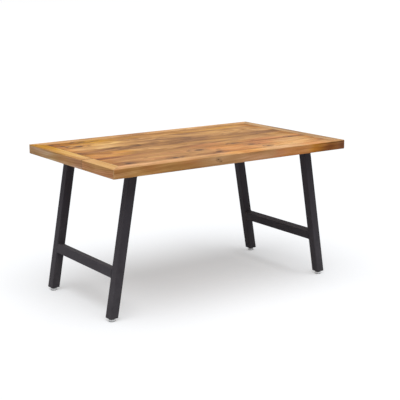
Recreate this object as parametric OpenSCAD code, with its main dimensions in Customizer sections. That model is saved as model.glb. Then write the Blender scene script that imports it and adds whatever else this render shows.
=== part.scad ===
// Sawhorse table: a framed plank top on two leaning steel trestles.
// The origin is on the floor under the middle of the top.
// X runs along the top, Y across it from front to rear, Z up.

/* [Top] */
// Length of the top
top_l = 1405; // [1200:5:2200]
// Width of the top
top_w = 835; // [650:5:1100]
// Height of the top surface above the floor
table_h = 750; // [600:5:1050]
// Height of the edge boards
edge_h = 46; // [40:1:70]
// Width of the edge boards, seen from above
edge_w = 62; // [55:1:78]
// Width of the ledge on the edge boards that carries the planks
ledge_w = 12; // [8:1:20]
// Thickness of the planks
plank_t = 22; // [18:1:26]
// Rounding along the outer edges of the edge boards
edge_round = 2.5; // [1:0.5:5]
// Rounding of the four upright corners of the top
corner_round = 4; // [2:0.5:10]
// Gap left in each wood joint
joint_gap = 0.2; // [0.1:0.05:0.4]
// Bevel along the top edges of each plank
plank_ease = 0.8; // [0.4:0.1:2]
// Thickness of a plank's tongue
tongue_t = 6; // [4:0.5:8]
// Depth of a plank's tongue
tongue_l = 7; // [4:0.5:10]
// Distance from the middle of the top to the joint in the left end board
end_joint_y = 130; // [0:5:200]

/* [Wood joints] */
// Length of the spline in each mitre
spline_l = 40; // [25:1:44]
// Width of a mitre spline
spline_w = 20; // [12:1:22]
// Thickness of a mitre spline
spline_t = 6; // [4:0.5:8]
// Diameter of the dowels in the left end board
dowel_d = 10; // [6:0.5:12]
// Length of those dowels
dowel_l = 60; // [30:2:80]
// Distance between the two dowels
dowel_pitch = 28; // [16:1:32]
// Width of the two middle battens
batten_w = 90; // [50:5:120]
// Room from a bolt to the edge of the wide end battens
batten_margin = 25; // [15:1:30]
// Length of the tenons on the battens
tenon_l = 15; // [8:1:30]
// Thickness of the tenons
tenon_t = 10; // [6:0.5:12]
// Shoulder on each side of a tenon
tenon_shoulder = 10; // [5:1:15]
// Bevel along the lower edges of the battens
batten_ease = 2; // [0.5:0.5:4]

/* [Plank screws] */
// Diameter of the countersunk heads
plank_screw_head = 8; // [7:0.5:9]
// Height of the rim of those heads
plank_screw_rim = 0.4; // [0.2:0.1:0.8]
// Diameter of the plank screws
plank_screw_d = 4; // [3:0.5:5]
// Length of screw that stands in a plank
plank_screw_grip = 12; // [8:0.5:15]
// Length of the point of a plank screw
plank_screw_point = 5; // [3:0.5:7]

/* [Trestles] */
// Side of the square leg tube
tube = 45; // [38:1:55]
// Wall of the leg tube
tube_wall = 2; // [1.5:0.5:3]
// Outer corner radius of the leg tube
tube_round = 4; // [3.5:0.5:7]
// Lean of a trestle from upright, in degrees
leg_splay = 10; // [0:1:18]
// From the end of the top to the middle of a leg, at the underside of the top
leg_inset_x = 170; // [155:1:300]
// From the long edge of the top to the middle of a leg
leg_inset_y = 124.5; // [105:0.5:200]
// Height of the middle of the stretchers above the floor
stretcher_z = 221.5; // [120:0.5:400]

/* [Rails and plates] */
// Width of the rails under the top
rail_w = 40; // [30:1:50]
// Height of the rails
rail_h = 15; // [12:1:25]
// Wall of the rails
rail_wall = 1.5; // [1:0.5:2.5]
// Outer corner radius of the rails
rail_round = 3; // [3:0.5:5]
// Thickness of the plates on the legs
plate_t = 5; // [4:0.5:8]
// Width of the leg plates
plate_w = 50; // [46:1:70]
// Corner radius of the leg plates
plate_round = 6; // [3:0.5:12]
// Length of a leg plate outboard of its leg
plate_out = 35; // [28:1:50]
// From a leg's inner face to the first inboard bolt
bolt_first = 35; // [20:1:60]
// Distance between the two inboard bolts
bolt_pitch = 60; // [30:1:90]
// From the last inboard bolt to the end of the plate
plate_end = 25; // [15:1:40]
// Thickness of the flange of a rail end cap
cap_t = 2; // [1:0.5:4]
// Depth of the cap's core inside the rail
cap_core = 9; // [5:0.5:10]
// Wall of that hollow core
cap_wall = 1.5; // [1:0.5:2.5]

/* [Bolts] */
// Diameter of the bolts that hold the trestles
bolt_d = 8; // [6:1:9]
// Across flats of the bolt heads
bolt_af = 13; // [11:0.5:15]
// Height of the bolt heads
bolt_head_h = 5.3; // [4:0.1:7]
// Length of bolt that stands in the threaded insert
bolt_grip = 13; // [8:0.5:14.5]
// Outer diameter of the washers
washer_d = 16; // [15.5:0.5:20]
// Thickness of the washers
washer_t = 1.6; // [1:0.1:2.5]
// Bevel round the washers
washer_bevel = 0.4; // [0.2:0.1:0.6]
// Outer diameter of the threaded inserts
insert_d = 12; // [11:0.5:16]
// Length of the threaded inserts
insert_l = 15; // [15:0.5:16]
// Bevel at the leading end of the inserts
insert_taper = 1; // [0.5:0.1:1.4]
// Radial room round a bolt in its drilled holes
hole_clear = 0.5; // [0.2:0.1:1]
// Bevel at the ends of the bolts and the foot screws
thread_tip = 1; // [0.5:0.1:1.5]

/* [Feet] */
// Diameter of the foot pads
pad_d = 33; // [26:0.5:45]
// Height of the foot pads
pad_h = 11; // [9:0.5:16]
// Chamfer round the bottom of a pad
pad_chamfer = 1; // [0.5:0.1:1.5]
// Radius of the rounded shoulder at the top of a pad
pad_shoulder = 4; // [1:0.5:6]
// Height of the fine groove round a pad
pad_groove_z = 2.5; // [2:0.1:4]
// Width and depth of that groove
pad_groove = 0.5; // [0.3:0.1:0.8]
// Radius of the ring groove in the sole of a pad
sole_ring_r = 11; // [9:0.5:11.5]
// Width and depth of the ring groove
sole_ring = 0.8; // [0.4:0.1:1]
// Across flats of the hex collar on a foot screw
collar_af = 13; // [12:0.5:17]
// Height of the hex collar
collar_h = 3.5; // [2.5:0.5:6]
// Space between the collar and the leg plug, for screwing the foot in
screw_gap = 2; // [2:0.5:10]
// Thickness of the flange of a leg plug
plug_flange = 2.5; // [2:0.5:5]
// Depth of the plug's core inside the leg
plug_core = 28; // [24:1:40]
// How far the plug's fins stand out from its core
fin_reach = 1.5; // [0.5:0.5:3]
// Thickness of a fin
fin_t = 2; // [1:0.5:3]
// Distance from one fin to the next
fin_pitch = 6; // [4:0.5:8]
// From the flange of the plug to its first fin
fin_first = 3; // [2:0.5:5]
// Diameter of the foot screws
screw_d = 8; // [6:1:10]
// Length of a foot screw above its collar
screw_l = 25.5; // [22:0.5:28]
// Diameter of the pivot under the collar, in the pad
pivot_d = 10; // [7:0.5:12]
// Length of that pivot
pivot_l = 5; // [3:0.5:6]
// Running clearance round the foot screws and their pivots
run_clear = 0.05; // [0.02:0.01:0.1]

/* [Hidden] */
$fn = 48;
plank_count = 8;
middle_battens = 2;
hex_crown = 0.95;
hex_cone = 30;
arc_step = 10;
drill = 1;

// Corners of the table: name, side along X, side along Y
corners = [["front_left", -1, -1], ["front_right", 1, -1], ["rear_left", -1, 1], ["rear_right", 1, 1]];
sides = [["left", -1], ["right", 1]];
long_sides = [["front", -1], ["rear", 1]];

// Levels, from the top down
under_z = table_h - edge_h;
plank_z = table_h - plank_t;
batten_t = edge_h - plank_t;
rail_z = under_z - rail_h;
plate_z = rail_z - plate_t;
plug_z = pad_h + collar_h + screw_gap;
leg_end_z = plug_z + plug_flange;
screw_bore_l = screw_l + joint_gap;
plank_screw_l = batten_t + plank_screw_grip;

// Plan sizes of the top
board_w = edge_w + ledge_w;
field_w = top_w - 2*edge_w;
plank_pitch = field_w/plank_count;
plank_w = plank_pitch - joint_gap;
plank_l = top_l - 2*edge_w - 2*joint_gap;
batten_l = top_w - 2*board_w;

// Legs: the middle line meets the underside of the top leg_inset_x in from its end
leg_y = top_w/2 - leg_inset_y;
leg_half = tube/2/cos(leg_splay);
function leg_x(z) = top_l/2 - leg_inset_x + (under_z - z)*tan(leg_splay);

// Leg plates and their bolts, measured outwards from the middle of the table
plate_leg_x = leg_x(plate_z);
plate_outer_x = plate_leg_x + leg_half + plate_out;
plate_inner_x = plate_leg_x - leg_half - bolt_first - bolt_pitch - plate_end;
bolt_xs = [
    plate_leg_x - leg_half - bolt_first - bolt_pitch,
    plate_leg_x - leg_half - bolt_first,
    plate_leg_x + leg_half + plate_out/2
];

// Battens: the end ones reach past the bolts, the middle ones are spaced evenly between them
end_batten_w = bolt_xs[2] - bolt_xs[0] + 2*batten_margin;
end_batten_x = (bolt_xs[0] + bolt_xs[2])/2;
batten_step = 2*end_batten_x/(middle_battens + 1);
function batten_x(i) = -end_batten_x + i*batten_step;
function batten_width(i) = (i == 0 || i == middle_battens + 1) ? end_batten_w : batten_w;

// One screw for each plank on each batten, the outermost ones between a rail and the end of the batten
outer_screw_y = (leg_y + rail_w/2 + batten_l/2)/2;
function plank_screw_y(i) =
    i == 1 ? -outer_screw_y : i == plank_count ? outer_screw_y : -field_w/2 + (i - 0.5)*plank_pitch;

tube_inner = tube - 2*tube_wall;
plug_fit = tube_inner - 2*joint_gap;
foot_x = leg_x(leg_end_z);

// Rectangle round the origin with rounded corners
module rounded_rect(l, w, r) {
    square([l - 2*r, w], center = true);
    square([l, w - 2*r], center = true);
    for (x = [-1, 1], y = [-1, 1])
        translate([x*(l/2 - r), y*(w/2 - r)]) circle(r);
}

// Section of a square or flat tube round the origin
module tube_section(l, w, wall, r) {
    difference() {
        rounded_rect(l, w, r);
        rounded_rect(l - 2*wall, w - 2*wall, r - wall);
    }
}

// Solid turned round the Z axis from a half section of [radius, height] points
module turned(points) {
    rotate_extrude() polygon(points);
}

// Hexagon of the given size across flats; a cone takes off its corners below, and above too if both is true
module hex_head(af, h, both) {
    corner_r = af/2/cos(30);
    crown_r = hex_crown*af/2;
    wide_r = corner_r + joint_gap;
    rise = (wide_r - crown_r)*tan(hex_cone);
    intersection() {
        cylinder(r = corner_r, h = h, $fn = 6);
        turned(concat(
            [[0, 0], [crown_r, 0], [wide_r, rise]],
            both ? [[wide_r, h - rise], [crown_r, h]] : [[wide_r, h]],
            [[0, h]]
        ));
    }
}

// Threaded rod of diameter d with a bevelled end
module thread_rod(d, l) {
    turned([[0, 0], [d/2, 0], [d/2, l - thread_tip], [d/2 - thread_tip, l], [0, l]]);
}

// Edge boards

// Section of an edge board: outer face on the Y axis, ledge at the inner side
module edge_section() {
    difference() {
        union() {
            translate([edge_round, 0]) square([board_w - edge_round, edge_h]);
            translate([0, edge_round]) square([board_w, edge_h - 2*edge_round]);
            for (y = [edge_round, edge_h - edge_round])
                translate([edge_round, y]) circle(edge_round);
        }
        translate([edge_w, batten_t]) square([ledge_w + drill, plank_t + drill]);
        polygon([
            [edge_w - plank_ease, edge_h], [edge_w + drill, edge_h + drill],
            [edge_w + drill, edge_h - plank_ease], [edge_w, edge_h - plank_ease]
        ]);
    }
}

// Upright prism of the whole top, with its rounded corners
module top_outline() {
    translate([0, 0, under_z - drill])
        linear_extrude(edge_h + 2*drill) rounded_rect(top_l, top_w, corner_round);
}

// Mitred board along the front edge, before its joints are cut
module long_board_blank() {
    intersection() {
        translate([-top_l/2, -top_w/2, under_z])
            rotate([90, 0, 90]) linear_extrude(top_l) edge_section();
        translate([0, 0, under_z - drill]) linear_extrude(edge_h + 2*drill) polygon([
            [-top_l/2, -top_w/2], [top_l/2, -top_w/2],
            [top_l/2 - board_w, -top_w/2 + board_w], [-top_l/2 + board_w, -top_w/2 + board_w]
        ]);
        top_outline();
    }
}

// Mitred board along the left end, before its joints are cut
module end_board_blank() {
    mitre = top_w/2 - joint_gap;
    intersection() {
        translate([-top_l/2, top_w/2, under_z])
            rotate([90, 0, 0]) linear_extrude(top_w) edge_section();
        translate([0, 0, under_z - drill]) linear_extrude(edge_h + 2*drill) polygon([
            [-top_l/2, -mitre], [-top_l/2 + board_w, -mitre + board_w],
            [-top_l/2 + board_w, mitre - board_w], [-top_l/2, mitre]
        ]);
        top_outline();
    }
}

// Long board on the given side, with its spline slots and batten mortises
module long_board(side) {
    color("peru") difference() {
        scale([1, -side, 1]) long_board_blank();
        splines(joint_gap);
        for (i = [0:middle_battens + 1]) tenon_bar(i, joint_gap);
    }
}

module end_board(side) {
    color("sandybrown") difference() {
        scale([-side, 1, 1]) end_board_blank();
        splines(joint_gap);
    }
}

// The left end board is two lengths, doweled end to end
module left_end_part(rear) {
    low = rear ? -end_joint_y + joint_gap/2 : -top_w/2;
    high = rear ? top_w/2 : -end_joint_y - joint_gap/2;
    color(rear ? "goldenrod" : "sandybrown") difference() {
        intersection() {
            end_board(-1);
            translate([-top_l/2 - drill, low, under_z - drill])
                cube([board_w + 2*drill, high - low, edge_h + 2*drill]);
        }
        dowels(run_clear);
    }
}

// Splines lie flat across the mitres, half in each board
module splines(clear) {
    for (c = corners)
        translate([c[1]*(top_l - edge_w)/2, c[2]*(top_w - edge_w)/2, under_z + edge_h/2])
            rotate([0, 0, c[1]*c[2]*45])
                cube([spline_l + 2*clear, spline_w + 2*clear, spline_t + 2*clear], center = true);
}

module mitre_splines() {
    color("burlywood") splines(0);
}

module dowels(clear) {
    for (x = [-1, 1])
        translate([-top_l/2 + edge_w/2 + x*dowel_pitch/2, -end_joint_y, under_z + edge_h/2])
            rotate([90, 0, 0]) cylinder(d = dowel_d + 2*clear, h = dowel_l + 2*clear, center = true);
}

module end_board_dowels() {
    color("burlywood") dowels(0);
}

// Field planks, numbered from the front

// Section of a plank with its lower left corner at the origin
module plank_section(has_groove, has_tongue) {
    tongue_z = (plank_t - tongue_t)/2;
    difference() {
        union() {
            polygon([
                [0, 0], [plank_w, 0], [plank_w, plank_t - plank_ease], [plank_w - plank_ease, plank_t],
                [plank_ease, plank_t], [0, plank_t - plank_ease]
            ]);
            if (has_tongue)
                translate([plank_w - drill, tongue_z]) square([drill + joint_gap + tongue_l, tongue_t]);
        }
        if (has_groove)
            translate([-drill, tongue_z - joint_gap])
                square([drill + tongue_l + joint_gap, tongue_t + 2*joint_gap]);
    }
}

module plank(i) {
    y = -field_w/2 + (i - 1)*plank_pitch + joint_gap/2;
    color(i % 2 == 0 ? "burlywood" : "tan") difference() {
        translate([-plank_l/2, y, plank_z])
            rotate([90, 0, 90]) linear_extrude(plank_l) plank_section(i > 1, i < plank_count);
        for (b = [0:middle_battens + 1]) plank_screw_hole(b, i);
    }
}

// Battens under the planks

// Section of a batten of width w, with bevelled lower edges
module batten_section(w) {
    polygon([
        [-w/2 + batten_ease, 0], [w/2 - batten_ease, 0], [w/2, batten_ease],
        [w/2, batten_t], [-w/2, batten_t], [-w/2, batten_ease]
    ]);
}

// Both tenons of a batten as one bar, made larger by clear for cutting the mortises
module tenon_bar(i, clear) {
    translate([batten_x(i), 0, under_z + batten_t/2]) cube([
        batten_width(i) - 2*tenon_shoulder + 2*clear, batten_l + 2*tenon_l + 2*clear, tenon_t + 2*clear
    ], center = true);
}

module batten(i) {
    color("wheat") difference() {
        union() {
            translate([batten_x(i), batten_l/2, under_z])
                rotate([90, 0, 0]) linear_extrude(batten_l) batten_section(batten_width(i));
            tenon_bar(i, 0);
        }
        if (i == 0) scale([-1, 1, 1]) insert_bores();
        if (i == middle_battens + 1) insert_bores();
        for (p = [1:plank_count]) plank_screw_hole(i, p);
    }
}

// Screws that hold the planks from below

// Half section of a plank screw from its head up, grown for cutting its hole
function plank_screw_section(clear = 0, below = 0, above = 0) =
    let (head_r = plank_screw_head/2 + clear, shank_r = plank_screw_d/2 + clear)
    [
        [0, -below], [head_r, -below], [head_r, plank_screw_rim],
        [shank_r, plank_screw_rim + head_r - shank_r],
        [shank_r, plank_screw_l - plank_screw_point + above], [0, plank_screw_l + above]
    ];

// Hole for the screw through batten b into plank p
module plank_screw_hole(b, p) {
    translate([batten_x(b), plank_screw_y(p), under_z])
        turned(plank_screw_section(run_clear, drill, joint_gap));
}

module plank_screws() {
    color("silver") for (b = [0:middle_battens + 1], p = [1:plank_count])
        translate([batten_x(b), plank_screw_y(p), under_z]) turned(plank_screw_section());
}

// Runs its children at each bolt of the right-hand trestle
module at_bolts() {
    for (x = bolt_xs, y = [-leg_y, leg_y]) translate([x, y, 0]) children();
}

module insert_bores() {
    at_bolts() translate([0, 0, under_z - drill]) cylinder(d = insert_d + 2*run_clear, h = insert_l + drill);
}

// Both trestles' bolts
module both_ends() {
    for (s = sides) scale([s[1], 1, 1]) children();
}

module bolt_holes() {
    both_ends() at_bolts() translate([0, 0, plate_z - drill])
        cylinder(d = bolt_d + 2*hole_clear, h = under_z - plate_z + 2*drill);
}

module threaded_inserts() {
    bore_r = bolt_d/2 + run_clear;
    color("gold") both_ends() at_bolts() translate([0, 0, under_z]) turned([
        [bore_r, 0], [insert_d/2, 0], [insert_d/2, insert_l - insert_taper],
        [insert_d/2 - insert_taper, insert_l], [bore_r, insert_l]
    ]);
}

module leg_bolts() {
    head_z = plate_z - washer_t;
    color("silver") both_ends() at_bolts() {
        translate([0, 0, head_z - bolt_head_h]) hex_head(bolt_af, bolt_head_h, false);
        translate([0, 0, head_z]) thread_rod(bolt_d, under_z + bolt_grip - head_z);
    }
}

module bolt_washers() {
    bore_r = (bolt_d + hole_clear)/2;
    color("silver") both_ends() at_bolts() translate([0, 0, plate_z - washer_t]) turned([
        [bore_r, 0], [washer_d/2 - washer_bevel, 0], [washer_d/2, washer_bevel],
        [washer_d/2, washer_t], [bore_r, washer_t]
    ]);
}

// Rails under the top
module long_rail(side) {
    color("dimgray") difference() {
        translate([-plate_outer_x, side*leg_y, rail_z + rail_h/2]) rotate([90, 0, 90])
            linear_extrude(2*plate_outer_x) tube_section(rail_w, rail_h, rail_wall, rail_round);
        bolt_holes();
    }
}

module cross_rail(side) {
    cross_l = 2*leg_y - rail_w;
    color("dimgray") translate([side*plate_leg_x, cross_l/2, rail_z + rail_h/2]) rotate([90, 0, 0])
        linear_extrude(cross_l) tube_section(rail_w, rail_h, rail_wall, rail_round);
}

module rail_end_caps() {
    core_w = rail_w - 2*rail_wall - 2*joint_gap;
    core_h = rail_h - 2*rail_wall - 2*joint_gap;
    color("black") both_ends() for (y = [-leg_y, leg_y])
        translate([plate_outer_x, y, rail_z + rail_h/2]) rotate([90, 0, 90]) {
            linear_extrude(cap_t) rounded_rect(rail_w, rail_h, rail_round);
            translate([0, 0, -cap_core]) linear_extrude(cap_core) difference() {
                rounded_rect(core_w, core_h, rail_round - rail_wall);
                square([core_w - 2*cap_wall, core_h - 2*cap_wall], center = true);
            }
        }
}

// Trestles

// Leaning prism of a section, from above the plates to below the leg ends, on the right-hand side
module leaning(y) {
    translate([leg_x(plate_z), y, plate_z]) rotate([0, -leg_splay, 0])
        translate([0, 0, -table_h/cos(leg_splay)]) linear_extrude(table_h/cos(leg_splay) + tube) children();
}

// Level slab between two heights, wide enough for a leg
module slab(low, high) {
    reach = top_l + table_h;
    translate([-reach, -reach, low]) cube([2*reach, 2*reach, high - low]);
}

module leg(x, y) {
    color("darkslategray") scale([x, 1, 1]) intersection() {
        leaning(y*leg_y) tube_section(tube, tube, tube_wall, tube_round);
        slab(leg_end_z, plate_z);
    }
}

module leg_plate(x, y) {
    color("dimgray") difference() {
        translate([x*(plate_outer_x + plate_inner_x)/2, y*leg_y, plate_z]) linear_extrude(plate_t)
            rounded_rect(plate_outer_x - plate_inner_x, plate_w, plate_round);
        bolt_holes();
    }
}

module stretcher(side) {
    gap = 2*leg_y - tube;
    color("darkslategray") scale([side, 1, 1]) translate([leg_x(stretcher_z), gap/2, stretcher_z])
        rotate([0, -leg_splay, 0]) rotate([90, 0, 0])
            linear_extrude(gap) tube_section(tube, tube, tube_wall, tube_round);
}

// Feet

// Square of a leg plug between two heights, leaning with its leg
module plug_slice(y, side, r, low, high) {
    intersection() {
        leaning(y*leg_y) rounded_rect(side, side, r);
        slab(low, high);
    }
}

// Plug in the end of a leg: a flange, a core round the foot screw, and fins that grip the tube
module leg_plug(x, y) {
    core_r = tube_round - tube_wall;
    color("black") scale([x, 1, 1]) difference() {
        union() {
            plug_slice(y, tube, tube_round, plug_z, leg_end_z);
            plug_slice(y, plug_fit - 2*fin_reach, core_r, plug_z, leg_end_z + plug_core);
            for (z = [fin_first:fin_pitch:plug_core - fin_t])
                plug_slice(y, plug_fit, core_r, leg_end_z + z, leg_end_z + z + fin_t);
        }
        translate([foot_x, y*leg_y, plug_z - drill])
            cylinder(d = screw_d + 2*run_clear, h = drill + screw_bore_l);
    }
}

module foot_screw(x, y) {
    color("silver") translate([x*foot_x, y*leg_y, pad_h]) {
        translate([0, 0, -pivot_l]) cylinder(d = pivot_d, h = pivot_l);
        hex_head(collar_af, collar_h, true);
        translate([0, 0, collar_h]) thread_rod(screw_d, screw_l);
    }
}

// Half section of a foot pad: rounded shoulder, a groove round its side and a ring groove in its sole
module pad_section() {
    shoulder = [
        for (a = [0:arc_step:90])
            [pad_d/2 - pad_shoulder*(1 - cos(a)), pad_h - pad_shoulder*(1 - sin(a))]
    ];
    difference() {
        polygon(concat([[0, 0], [pad_d/2 - pad_chamfer, 0], [pad_d/2, pad_chamfer]], shoulder, [[0, pad_h]]));
        translate([pad_d/2 - pad_groove, pad_groove_z]) square([pad_groove + drill, pad_groove]);
        translate([sole_ring_r, -drill]) square([sole_ring, sole_ring + drill]);
    }
}

module foot_pad(x, y) {
    color("lightgray") translate([x*foot_x, y*leg_y, 0]) difference() {
        rotate_extrude() pad_section();
        translate([0, 0, pad_h - pivot_l - joint_gap])
            cylinder(d = pivot_d + 2*run_clear, h = pivot_l + joint_gap + drill);
    }
}

for (s = long_sides)
    long_board(s[1]);
left_end_part(true);  // left_end_board_rear
left_end_part(false);  // left_end_board_front
end_board(1);  // right_end_board
for (i = [1:plank_count])
    plank(i);
mitre_splines();
end_board_dowels();
for (i = [1:middle_battens + 2])
    batten(i - 1);
plank_screws();
for (s = long_sides)
    long_rail(s[1]);
for (s = sides)
    cross_rail(s[1]);
rail_end_caps();
threaded_inserts();
leg_bolts();
bolt_washers();
for (c = corners)
    leg_plate(c[1], c[2]);
for (c = corners)
    leg(c[1], c[2]);
for (s = sides)
    stretcher(s[1]);
for (c = corners)
    leg_plug(c[1], c[2]);
for (c = corners)
    foot_screw(c[1], c[2]);
for (c = corners)
    foot_pad(c[1], c[2]);
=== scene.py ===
# Sawhorse table: a framed plank top on two leaning steel trestles.
# Light, camera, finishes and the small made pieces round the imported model. Metres, Z up, origin on the floor.
import bpy
import bmesh
import numpy as np
from math import cos, pi, radians, sin, tan
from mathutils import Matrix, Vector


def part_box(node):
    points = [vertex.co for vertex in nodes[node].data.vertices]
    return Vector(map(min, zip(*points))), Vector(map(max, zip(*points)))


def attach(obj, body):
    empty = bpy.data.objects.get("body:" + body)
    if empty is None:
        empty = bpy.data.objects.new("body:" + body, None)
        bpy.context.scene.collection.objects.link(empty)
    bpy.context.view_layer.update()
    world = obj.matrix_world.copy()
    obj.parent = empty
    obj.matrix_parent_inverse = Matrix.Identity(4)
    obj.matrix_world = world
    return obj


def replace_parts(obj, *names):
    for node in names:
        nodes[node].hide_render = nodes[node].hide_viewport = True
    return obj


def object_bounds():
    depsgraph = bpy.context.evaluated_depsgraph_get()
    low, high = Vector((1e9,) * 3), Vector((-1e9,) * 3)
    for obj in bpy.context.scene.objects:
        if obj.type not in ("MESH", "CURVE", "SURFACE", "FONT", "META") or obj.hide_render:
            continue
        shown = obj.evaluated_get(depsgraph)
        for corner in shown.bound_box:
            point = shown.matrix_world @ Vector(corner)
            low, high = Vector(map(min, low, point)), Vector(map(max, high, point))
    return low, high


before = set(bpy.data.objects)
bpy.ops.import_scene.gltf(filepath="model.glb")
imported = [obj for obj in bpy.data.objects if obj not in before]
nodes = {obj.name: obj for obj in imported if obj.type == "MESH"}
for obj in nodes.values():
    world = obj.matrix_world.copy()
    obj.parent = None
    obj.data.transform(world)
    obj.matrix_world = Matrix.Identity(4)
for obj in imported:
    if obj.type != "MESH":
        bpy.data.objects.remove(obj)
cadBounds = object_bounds()
corners = {"front_left": (-1, -1), "front_right": (1, -1), "rear_left": (-1, 1), "rear_right": (1, 1)}
print("frame loaded,", len(nodes), "nodes")


# node tree helpers: a value is either a number, a tuple or another node's output

def feed(tree, socket, value):
    if isinstance(value, bpy.types.NodeSocket):
        tree.links.new(value, socket)
    else:
        socket.default_value = value


def addNode(tree, kind, feeds=None, **settings):
    node = tree.nodes.new("ShaderNode" + kind)
    for name, value in settings.items():
        setattr(node, name, value)
    for name, value in (feeds or {}).items():
        feed(tree, node.inputs[name], value)
    return node


def calc(tree, operation, *values):
    node = addNode(tree, "Math", operation=operation)
    for socket, value in zip(node.inputs, values):
        feed(tree, socket, value)
    return node.outputs[0]


def times(tree, first, second):
    return calc(tree, "MULTIPLY", first, second)


def minus(tree, first, second):
    return calc(tree, "SUBTRACT", first, second)


def timesPlus(tree, first, second, base):
    # first times second, plus base
    return calc(tree, "MULTIPLY_ADD", first, second, base)


def vectorCalc(tree, operation, *values):
    node = addNode(tree, "VectorMath", operation=operation)
    for socket, value in zip(node.inputs, values):
        feed(tree, socket, value)
    return node.outputs["Value" if operation == "LENGTH" else "Vector"]


def axisOf(tree, vector, axis):
    # one coordinate of a vector: 0 is X, 1 is Y, 2 is Z
    return addNode(tree, "SeparateXYZ", {0: vector}).outputs[axis]


def fade(tree, value, low, high):
    # 0 at low, 1 at high, eased between; low may be the larger
    return addNode(tree, "MapRange", {"Value": value, "From Min": low, "From Max": high},
                   interpolation_type="SMOOTHSTEP").outputs[0]


def noise(tree, vector, waves, detail=2.0, roughness=0.5, colour=False):
    # waves is how many there are in a metre along each axis
    node = addNode(tree, "TexNoise", {"Vector": vectorCalc(tree, "MULTIPLY", vector, waves), "Scale": 1.0,
                                      "Detail": detail, "Roughness": roughness})
    return node.outputs[1 if colour else 0]


def mixColour(tree, factor, first, second, mode="MIX"):
    node = addNode(tree, "Mix", data_type="RGBA", blend_type=mode)
    for index, value in ((0, factor), (6, first), (7, second)):
        feed(tree, node.inputs[index], value)
    return node.outputs[2]


def colourRamp(tree, value, stops):
    node = addNode(tree, "ValToRGB", {"Fac": value})
    ramp, stops = node.color_ramp, list(stops)
    while len(ramp.elements) < len(stops):
        ramp.elements.new(0.5)
    for element, (place, colour) in zip(ramp.elements, stops):
        element.position = place
        element.color = (*colour, 1)
    return node.outputs[0]


def makeGroup(name, inputs, outputs):
    # each input has its starting value, which makes it a number, a vector of three or a colour of four
    tree = bpy.data.node_groups.new(name, "ShaderNodeTree")
    for label, start in inputs.items():
        kind = {3: "Vector", 4: "Color"}[len(start)] if isinstance(start, tuple) else "Float"
        tree.interface.new_socket(label, in_out="INPUT", socket_type="NodeSocket" + kind).default_value = start
    for label, kind in outputs.items():
        tree.interface.new_socket(label, in_out="OUTPUT", socket_type="NodeSocket" + kind)
    return tree, tree.nodes.new("NodeGroupInput").outputs, tree.nodes.new("NodeGroupOutput").inputs


def numbers(*labels):
    return dict.fromkeys(labels, "Float")


def useGroup(tree, group, feeds):
    return addNode(tree, "Group", feeds, node_tree=group).outputs


def newMaterial(name, constants):
    material = bpy.data.materials.new(name)
    material.use_nodes = True
    tree = material.node_tree
    shader = tree.nodes["Principled BSDF"]
    for label, value in constants.items():
        shader.inputs[label].default_value = value
    place = addNode(tree, "TexCoord").outputs["Object"]
    return material, tree, shader, place


def addBump(tree, shader, height, distance, strength):
    bump = addNode(tree, "Bump", {"Height": height, "Distance": distance, "Strength": strength})
    tree.links.new(bump.outputs[0], shader.inputs["Normal"])


def finishNode(name, material):
    for slot in nodes[name].material_slots:
        slot.material = material


# effects of the wood. Waves is how many there are in a metre along, across and through the board; a pair is where a
# mask starts and where it is full

fibres = {
    "bendWaves": (2.3, 9, 9), "bendReach": (0, 0.024, 0.03), "late": (0.15, 0.88), "lateEnd": (1.0, 0.93),
    "clearWaves": (1.9, 26, 9), "clear": (0.36, 0.62), "threadWaves": (8, 640, 640),
    "bandWaves": (3.4, 150, 26), "band": (0.58, 0.65), "clusterWaves": (3.4, 13, 13), "cluster": (0.51, 0.60),
    "poreWaves": (70, 1700, 1700), "pore": (0.66, 0.76), "slowWaves": (3.6, 13, 13), "slowShare": 0.85,
    "lineWaves": (1.6, 62, 9), "lineShare": 1.05, "hueWaves": (4.2, 15, 15), "hueShift": (3.7, 1.9, 0.6),
    "hue": (0.40, 0.60), "pinCells": (7, 20, 20), "pinChosen": (0.80, 0.84), "pinEye": (0.16, 0.05),
}


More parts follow.
